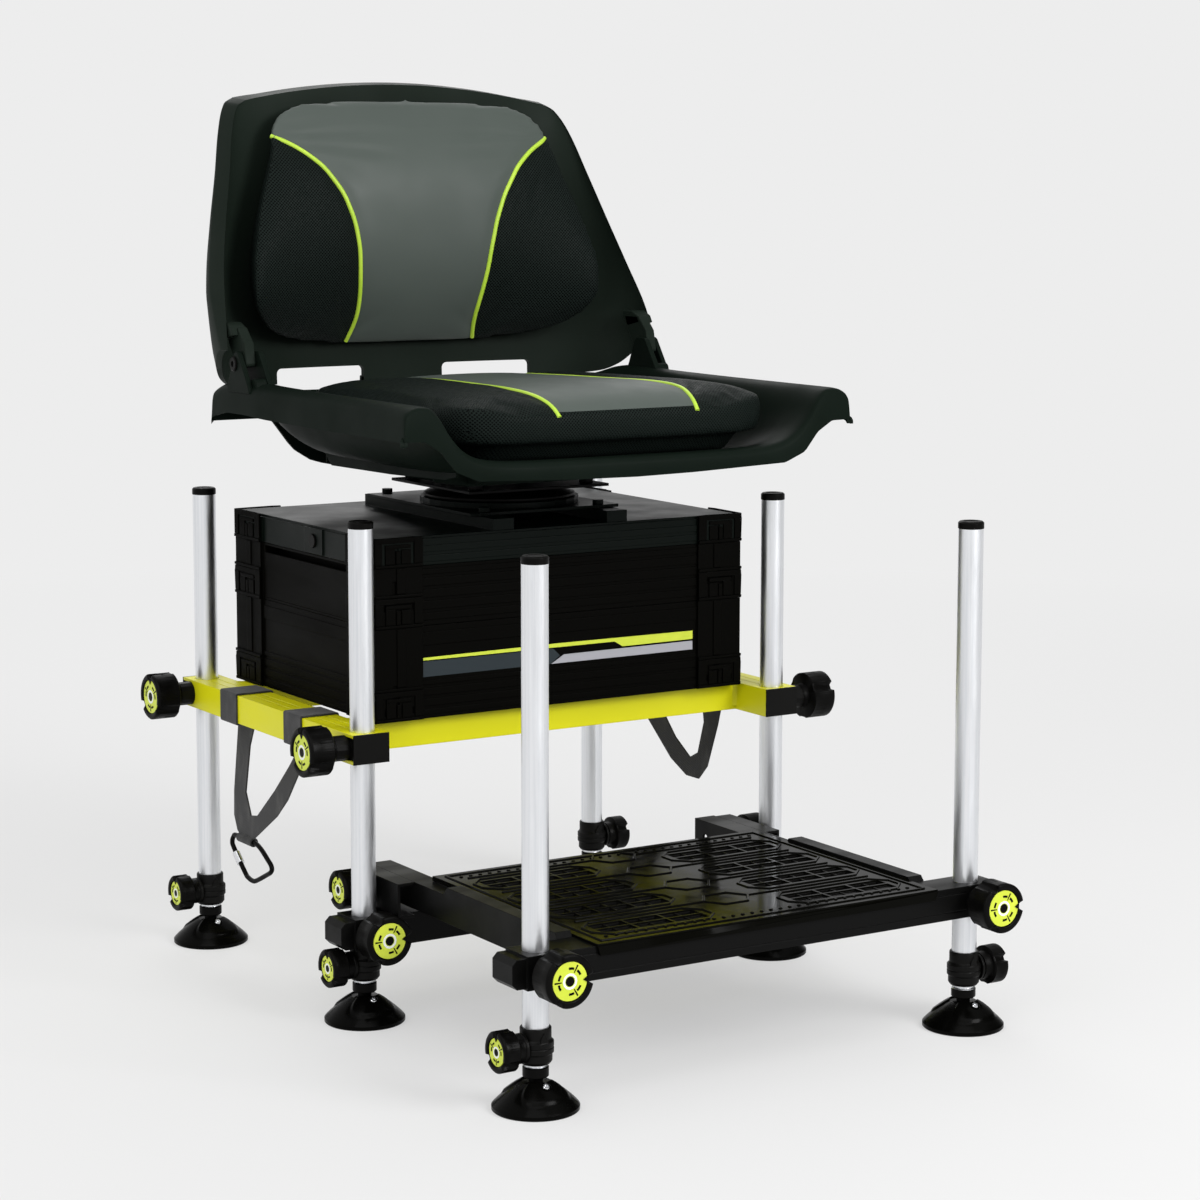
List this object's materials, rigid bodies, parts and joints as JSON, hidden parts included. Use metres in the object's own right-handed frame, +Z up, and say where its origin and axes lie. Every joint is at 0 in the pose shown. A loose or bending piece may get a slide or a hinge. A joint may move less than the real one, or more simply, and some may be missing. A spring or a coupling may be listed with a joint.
{
  "type": "fishing seat box",
  "caption": "Padded swivel seat with folding backrest on a tray and drawer box, carried by a clamped frame on telescopic legs with tilting feet, with a clamped slotted footplate.",
  "frame": {"origin": "on the floor, midway between the four box legs", "axes": "+Z up, -Y towards the footplate, +X to the right as seen from the front"},
  "size_m": [0.6396, 0.8103, 0.954],
  "materials": {
    "lime_paint": "satin lime green anodised alloy",
    "bare_alloy": "bare drawn tube with fine streaks",
    "black_alloy": "black anodised alloy",
    "black_plastic": "black moulded plastic",
    "tread_plastic": "glossy black, patterned",
    "shell_plastic": "grained dark green-black",
    "vinyl": "grey and black vinyl with lime piping",
    "webbing": "woven black webbing",
    "black_wire": "black coated wire"
  },
  "bodies": {
    "frame": {"main_frame": "lime_paint", "frame_clamp_rear_left": "black_plastic", "frame_clamp_front_left": "black_plastic", "frame_clamp_rear_right": "black_plastic", "frame_clamp_front_right": "black_plastic", "base_tray": "black_plastic", "drawer_case": "black_plastic", "left_strap": "webbing", "right_strap": "webbing"},
    "leg_rear_left": {"leg_tube_rear_left": "bare_alloy", "leg_collar_rear_left": "black_plastic"},
    "leg_front_left": {"leg_tube_front_left": "bare_alloy", "leg_collar_front_left": "black_plastic"},
    "leg_rear_right": {"leg_tube_rear_right": "bare_alloy", "leg_collar_rear_right": "black_plastic"},
    "leg_front_right": {"leg_tube_front_right": "bare_alloy", "leg_collar_front_right": "black_plastic"},
    "leg_footplate_left": {"leg_tube_footplate_left": "bare_alloy", "leg_collar_footplate_left": "black_plastic"},
    "leg_footplate_right": {"leg_tube_footplate_right": "bare_alloy", "leg_collar_footplate_right": "black_plastic"},
    "inner_rear_left": {"inner_leg_rear_left": "bare_alloy"},
    "inner_front_left": {"inner_leg_front_left": "bare_alloy"},
    "inner_footplate_left": {"inner_leg_footplate_left": "bare_alloy"},
    "inner_rear_right": {"inner_leg_rear_right": "bare_alloy"},
    "inner_front_right": {"inner_leg_front_right": "bare_alloy"},
    "inner_footplate_right": {"inner_leg_footplate_right": "bare_alloy"},
    "foot_rear_left": {"foot_rear_left": "black_plastic"},
    "foot_front_left": {"foot_front_left": "black_plastic"},
    "foot_footplate_left": {"foot_footplate_left": "black_plastic"},
    "foot_rear_right": {"foot_rear_right": "black_plastic"},
    "foot_front_right": {"foot_front_right": "black_plastic"},
    "foot_footplate_right": {"foot_footplate_right": "black_plastic"},
    "rear_bar": {"rear_bar": "black_alloy"},
    "footplate": {"footplate_frame": "black_alloy", "tread_plate": "tread_plastic"},
    "frame_knob_rear_left": {"frame_knob_rear_left": "black_plastic"},
    "frame_knob_front_left": {"frame_knob_front_left": "black_plastic"},
    "frame_knob_rear_right": {"frame_knob_rear_right": "black_plastic"},
    "frame_knob_front_right": {"frame_knob_front_right": "black_plastic"},
    "collar_knob_rear_left": {"collar_knob_rear_left": "black_plastic"},
    "collar_knob_front_left": {"collar_knob_front_left": "black_plastic"},
    "collar_knob_footplate_left": {"collar_knob_footplate_left": "black_plastic"},
    "collar_knob_rear_right": {"collar_knob_rear_right": "black_plastic"},
    "collar_knob_front_right": {"collar_knob_front_right": "black_plastic"},
    "collar_knob_footplate_right": {"collar_knob_footplate_right": "black_plastic"},
    "rear_bar_knob_left": {"rear_bar_knob_left": "black_plastic"},
    "rear_bar_knob_right": {"rear_bar_knob_right": "black_plastic"},
    "front_bar_knob_left": {"front_bar_knob_left": "black_plastic"},
    "front_bar_knob_right": {"front_bar_knob_right": "black_plastic"},
    "pivot_knob_left": {"pivot_knob_left": "black_plastic"},
    "pivot_knob_right": {"pivot_knob_right": "black_plastic"},
    "side_drawer": {"side_drawer": "black_plastic"},
    "lid": {"lid": "black_plastic"},
    "lid_latch": {"lid_latch": "black_plastic"},
    "seat": {"seat_shell": "shell_plastic", "seat_cushion": "vinyl"},
    "backrest": {"backrest_shell": "shell_plastic", "backrest_cushion": "vinyl"},
    "carabiner": {"carabiner": "black_wire"}
  },
  "joints": [
    {"name": "leg_rear_left_slide", "type": "slide", "parent": "frame", "child": "leg_rear_left", "axis": [0, 0, 1], "range_m": [-0.15, 0.03]},
    {"name": "leg_front_left_slide", "type": "slide", "parent": "frame", "child": "leg_front_left", "axis": [0, 0, 1], "range_m": [-0.15, 0.03]},
    {"name": "leg_rear_right_slide", "type": "slide", "parent": "frame", "child": "leg_rear_right", "axis": [0, 0, 1], "range_m": [-0.15, 0.03]},
    {"name": "leg_front_right_slide", "type": "slide", "parent": "frame", "child": "leg_front_right", "axis": [0, 0, 1], "range_m": [-0.15, 0.03]},
    {"name": "rear_bar_slide", "type": "slide", "parent": "leg_front_left", "child": "rear_bar", "axis": [0, 0, 1], "range_m": [0, 0.06]},
    {"name": "footplate_tilt", "type": "hinge", "parent": "rear_bar", "child": "footplate", "pos_m": [0, -0.148, 0.1285], "axis": [-1, 0, 0], "range_deg": [-5, 12]},
    {"name": "leg_footplate_left_slide", "type": "slide", "parent": "footplate", "child": "leg_footplate_left", "axis": [0, 0, 1], "range_m": [-0.15, 0.03]},
    {"name": "leg_footplate_right_slide", "type": "slide", "parent": "footplate", "child": "leg_footplate_right", "axis": [0, 0, 1], "range_m": [-0.15, 0.03]},
    {"name": "inner_rear_left_slide", "type": "slide", "parent": "leg_rear_left", "child": "inner_rear_left", "axis": [0, 0, -1], "range_m": [0, 0.2]},
    {"name": "inner_front_left_slide", "type": "slide", "parent": "leg_front_left", "child": "inner_front_left", "axis": [0, 0, -1], "range_m": [0, 0.2]},
    {"name": "inner_footplate_left_slide", "type": "slide", "parent": "leg_footplate_left", "child": "inner_footplate_left", "axis": [0, 0, -1], "range_m": [0, 0.2]},
    {"name": "inner_rear_right_slide", "type": "slide", "parent": "leg_rear_right", "child": "inner_rear_right", "axis": [0, 0, -1], "range_m": [0, 0.2]},
    {"name": "inner_front_right_slide", "type": "slide", "parent": "leg_front_right", "child": "inner_front_right", "axis": [0, 0, -1], "range_m": [0, 0.2]},
    {"name": "inner_footplate_right_slide", "type": "slide", "parent": "leg_footplate_right", "child": "inner_footplate_right", "axis": [0, 0, -1], "range_m": [0, 0.2]},
    {"name": "foot_rear_left_tilt", "type": "hinge", "parent": "inner_rear_left", "child": "foot_rear_left", "pos_m": [-0.251, 0.185, 0.0195], "axis": [0, 1, 0], "range_deg": [-12, 12]},
    {"name": "foot_front_left_tilt", "type": "hinge", "parent": "inner_front_left", "child": "foot_front_left", "pos_m": [-0.251, -0.185, 0.0195], "axis": [0, 1, 0], "range_deg": [-12, 12]},
    {"name": "foot_footplate_left_tilt", "type": "hinge", "parent": "inner_footplate_left", "child": "foot_footplate_left", "pos_m": [-0.251, -0.5225, 0.0195], "axis": [0, 1, 0], "range_deg": [-12, 12]},
    {"name": "foot_rear_right_tilt", "type": "hinge", "parent": "inner_rear_right", "child": "foot_rear_right", "pos_m": [0.251, 0.185, 0.0195], "axis": [0, 1, 0], "range_deg": [-12, 12]},
    {"name": "foot_front_right_tilt", "type": "hinge", "parent": "inner_front_right", "child": "foot_front_right", "pos_m": [0.251, -0.185, 0.0195], "axis": [0, 1, 0], "range_deg": [-12, 12]},
    {"name": "foot_footplate_right_tilt", "type": "hinge", "parent": "inner_footplate_right", "child": "foot_footplate_right", "pos_m": [0.251, -0.5225, 0.0195], "axis": [0, 1, 0], "range_deg": [-12, 12]},
    {"name": "frame_knob_rear_left_turn", "type": "hinge", "parent": "frame", "child": "frame_knob_rear_left", "pos_m": [-0.3, 0.185, 0.283], "axis": [-1, 0, 0], "range_deg": [0, 90]},
    {"name": "frame_knob_front_left_turn", "type": "hinge", "parent": "frame", "child": "frame_knob_front_left", "pos_m": [-0.3, -0.185, 0.283], "axis": [-1, 0, 0], "range_deg": [0, 90]},
    {"name": "frame_knob_rear_right_turn", "type": "hinge", "parent": "frame", "child": "frame_knob_rear_right", "pos_m": [0.3, 0.185, 0.283], "axis": [1, 0, 0], "range_deg": [0, 90]},
    {"name": "frame_knob_front_right_turn", "type": "hinge", "parent": "frame", "child": "frame_knob_front_right", "pos_m": [0.3, -0.185, 0.283], "axis": [1, 0, 0], "range_deg": [0, 90]},
    {"name": "collar_knob_rear_left_turn", "type": "hinge", "parent": "leg_rear_left", "child": "collar_knob_rear_left", "pos_m": [-0.28, 0.185, 0.0595], "axis": [-1, 0, 0], "range_deg": [0, 90]},
    {"name": "collar_knob_front_left_turn", "type": "hinge", "parent": "leg_front_left", "child": "collar_knob_front_left", "pos_m": [-0.28, -0.185, 0.0595], "axis": [-1, 0, 0], "range_deg": [0, 90]},
    {"name": "collar_knob_footplate_left_turn", "type": "hinge", "parent": "leg_footplate_left", "child": "collar_knob_footplate_left", "pos_m": [-0.28, -0.5225, 0.0595], "axis": [-1, 0, 0], "range_deg": [0, 90]},
    {"name": "collar_knob_rear_right_turn", "type": "hinge", "parent": "leg_rear_right", "child": "collar_knob_rear_right", "pos_m": [0.28, 0.185, 0.0595], "axis": [1, 0, 0], "range_deg": [0, 90]},
    {"name": "collar_knob_front_right_turn", "type": "hinge", "parent": "leg_front_right", "child": "collar_knob_front_right", "pos_m": [0.28, -0.185, 0.0595], "axis": [1, 0, 0], "range_deg": [0, 90]},
    {"name": "collar_knob_footplate_right_turn", "type": "hinge", "parent": "leg_footplate_right", "child": "collar_knob_footplate_right", "pos_m": [0.28, -0.5225, 0.0595], "axis": [1, 0, 0], "range_deg": [0, 90]},
    {"name": "rear_bar_knob_left_turn", "type": "hinge", "parent": "rear_bar", "child": "rear_bar_knob_left", "pos_m": [-0.251, -0.22, 0.0944], "axis": [0, -1, 0], "range_deg": [0, 90]},
    {"name": "rear_bar_knob_right_turn", "type": "hinge", "parent": "rear_bar", "child": "rear_bar_knob_right", "pos_m": [0.251, -0.22, 0.0944], "axis": [0, -1, 0], "range_deg": [0, 90]},
    {"name": "front_bar_knob_left_turn", "type": "hinge", "parent": "footplate", "child": "front_bar_knob_left", "pos_m": [-0.251, -0.56, 0.134], "axis": [0, -1, 0], "range_deg": [0, 90]},
    {"name": "front_bar_knob_right_turn", "type": "hinge", "parent": "footplate", "child": "front_bar_knob_right", "pos_m": [0.251, -0.56, 0.134], "axis": [0, -1, 0], "range_deg": [0, 90]},
    {"name": "pivot_knob_left_turn", "type": "hinge", "parent": "rear_bar", "child": "pivot_knob_left", "pos_m": [-0.25, -0.148, 0.1285], "axis": [-1, 0, 0], "range_deg": [0, 90]},
    {"name": "pivot_knob_right_turn", "type": "hinge", "parent": "rear_bar", "child": "pivot_knob_right", "pos_m": [0.25, -0.148, 0.1285], "axis": [1, 0, 0], "range_deg": [0, 90]},
    {"name": "side_drawer_slide", "type": "slide", "parent": "frame", "child": "side_drawer", "axis": [-1, 0, 0], "range_m": [0, 0.15]},
    {"name": "lid_hinge", "type": "hinge", "parent": "frame", "child": "lid", "pos_m": [0.2273, 0, 0.45655], "axis": [0, 1, 0], "range_deg": [0, 55]},
    {"name": "lid_latch_push", "type": "slide", "parent": "lid", "child": "lid_latch", "axis": [1, 0, 0], "range_m": [0, 0.0025], "stiffness_N_per_m": 600},
    {"name": "seat_swivel", "type": "hinge", "parent": "lid", "child": "seat", "pos_m": [0, -0.028, 0.51], "axis": [0, 0, 1], "continuous": true},
    {"name": "backrest_fold", "type": "hinge", "parent": "seat", "child": "backrest", "pos_m": [0, 0.074, 0.652], "axis": [1, 0, 0], "range_deg": [0, 85]},
    {"name": "carabiner_swing", "type": "hinge", "parent": "frame", "child": "carabiner", "pos_m": [-0.251, 0.087, 0.134], "axis": [0, 1, 0], "range_deg": [-40, 40]}
  ],
  "couplings": [
    {"joint": "leg_front_right_slide", "follows": "leg_front_left_slide", "ratio": 1}
  ]
}
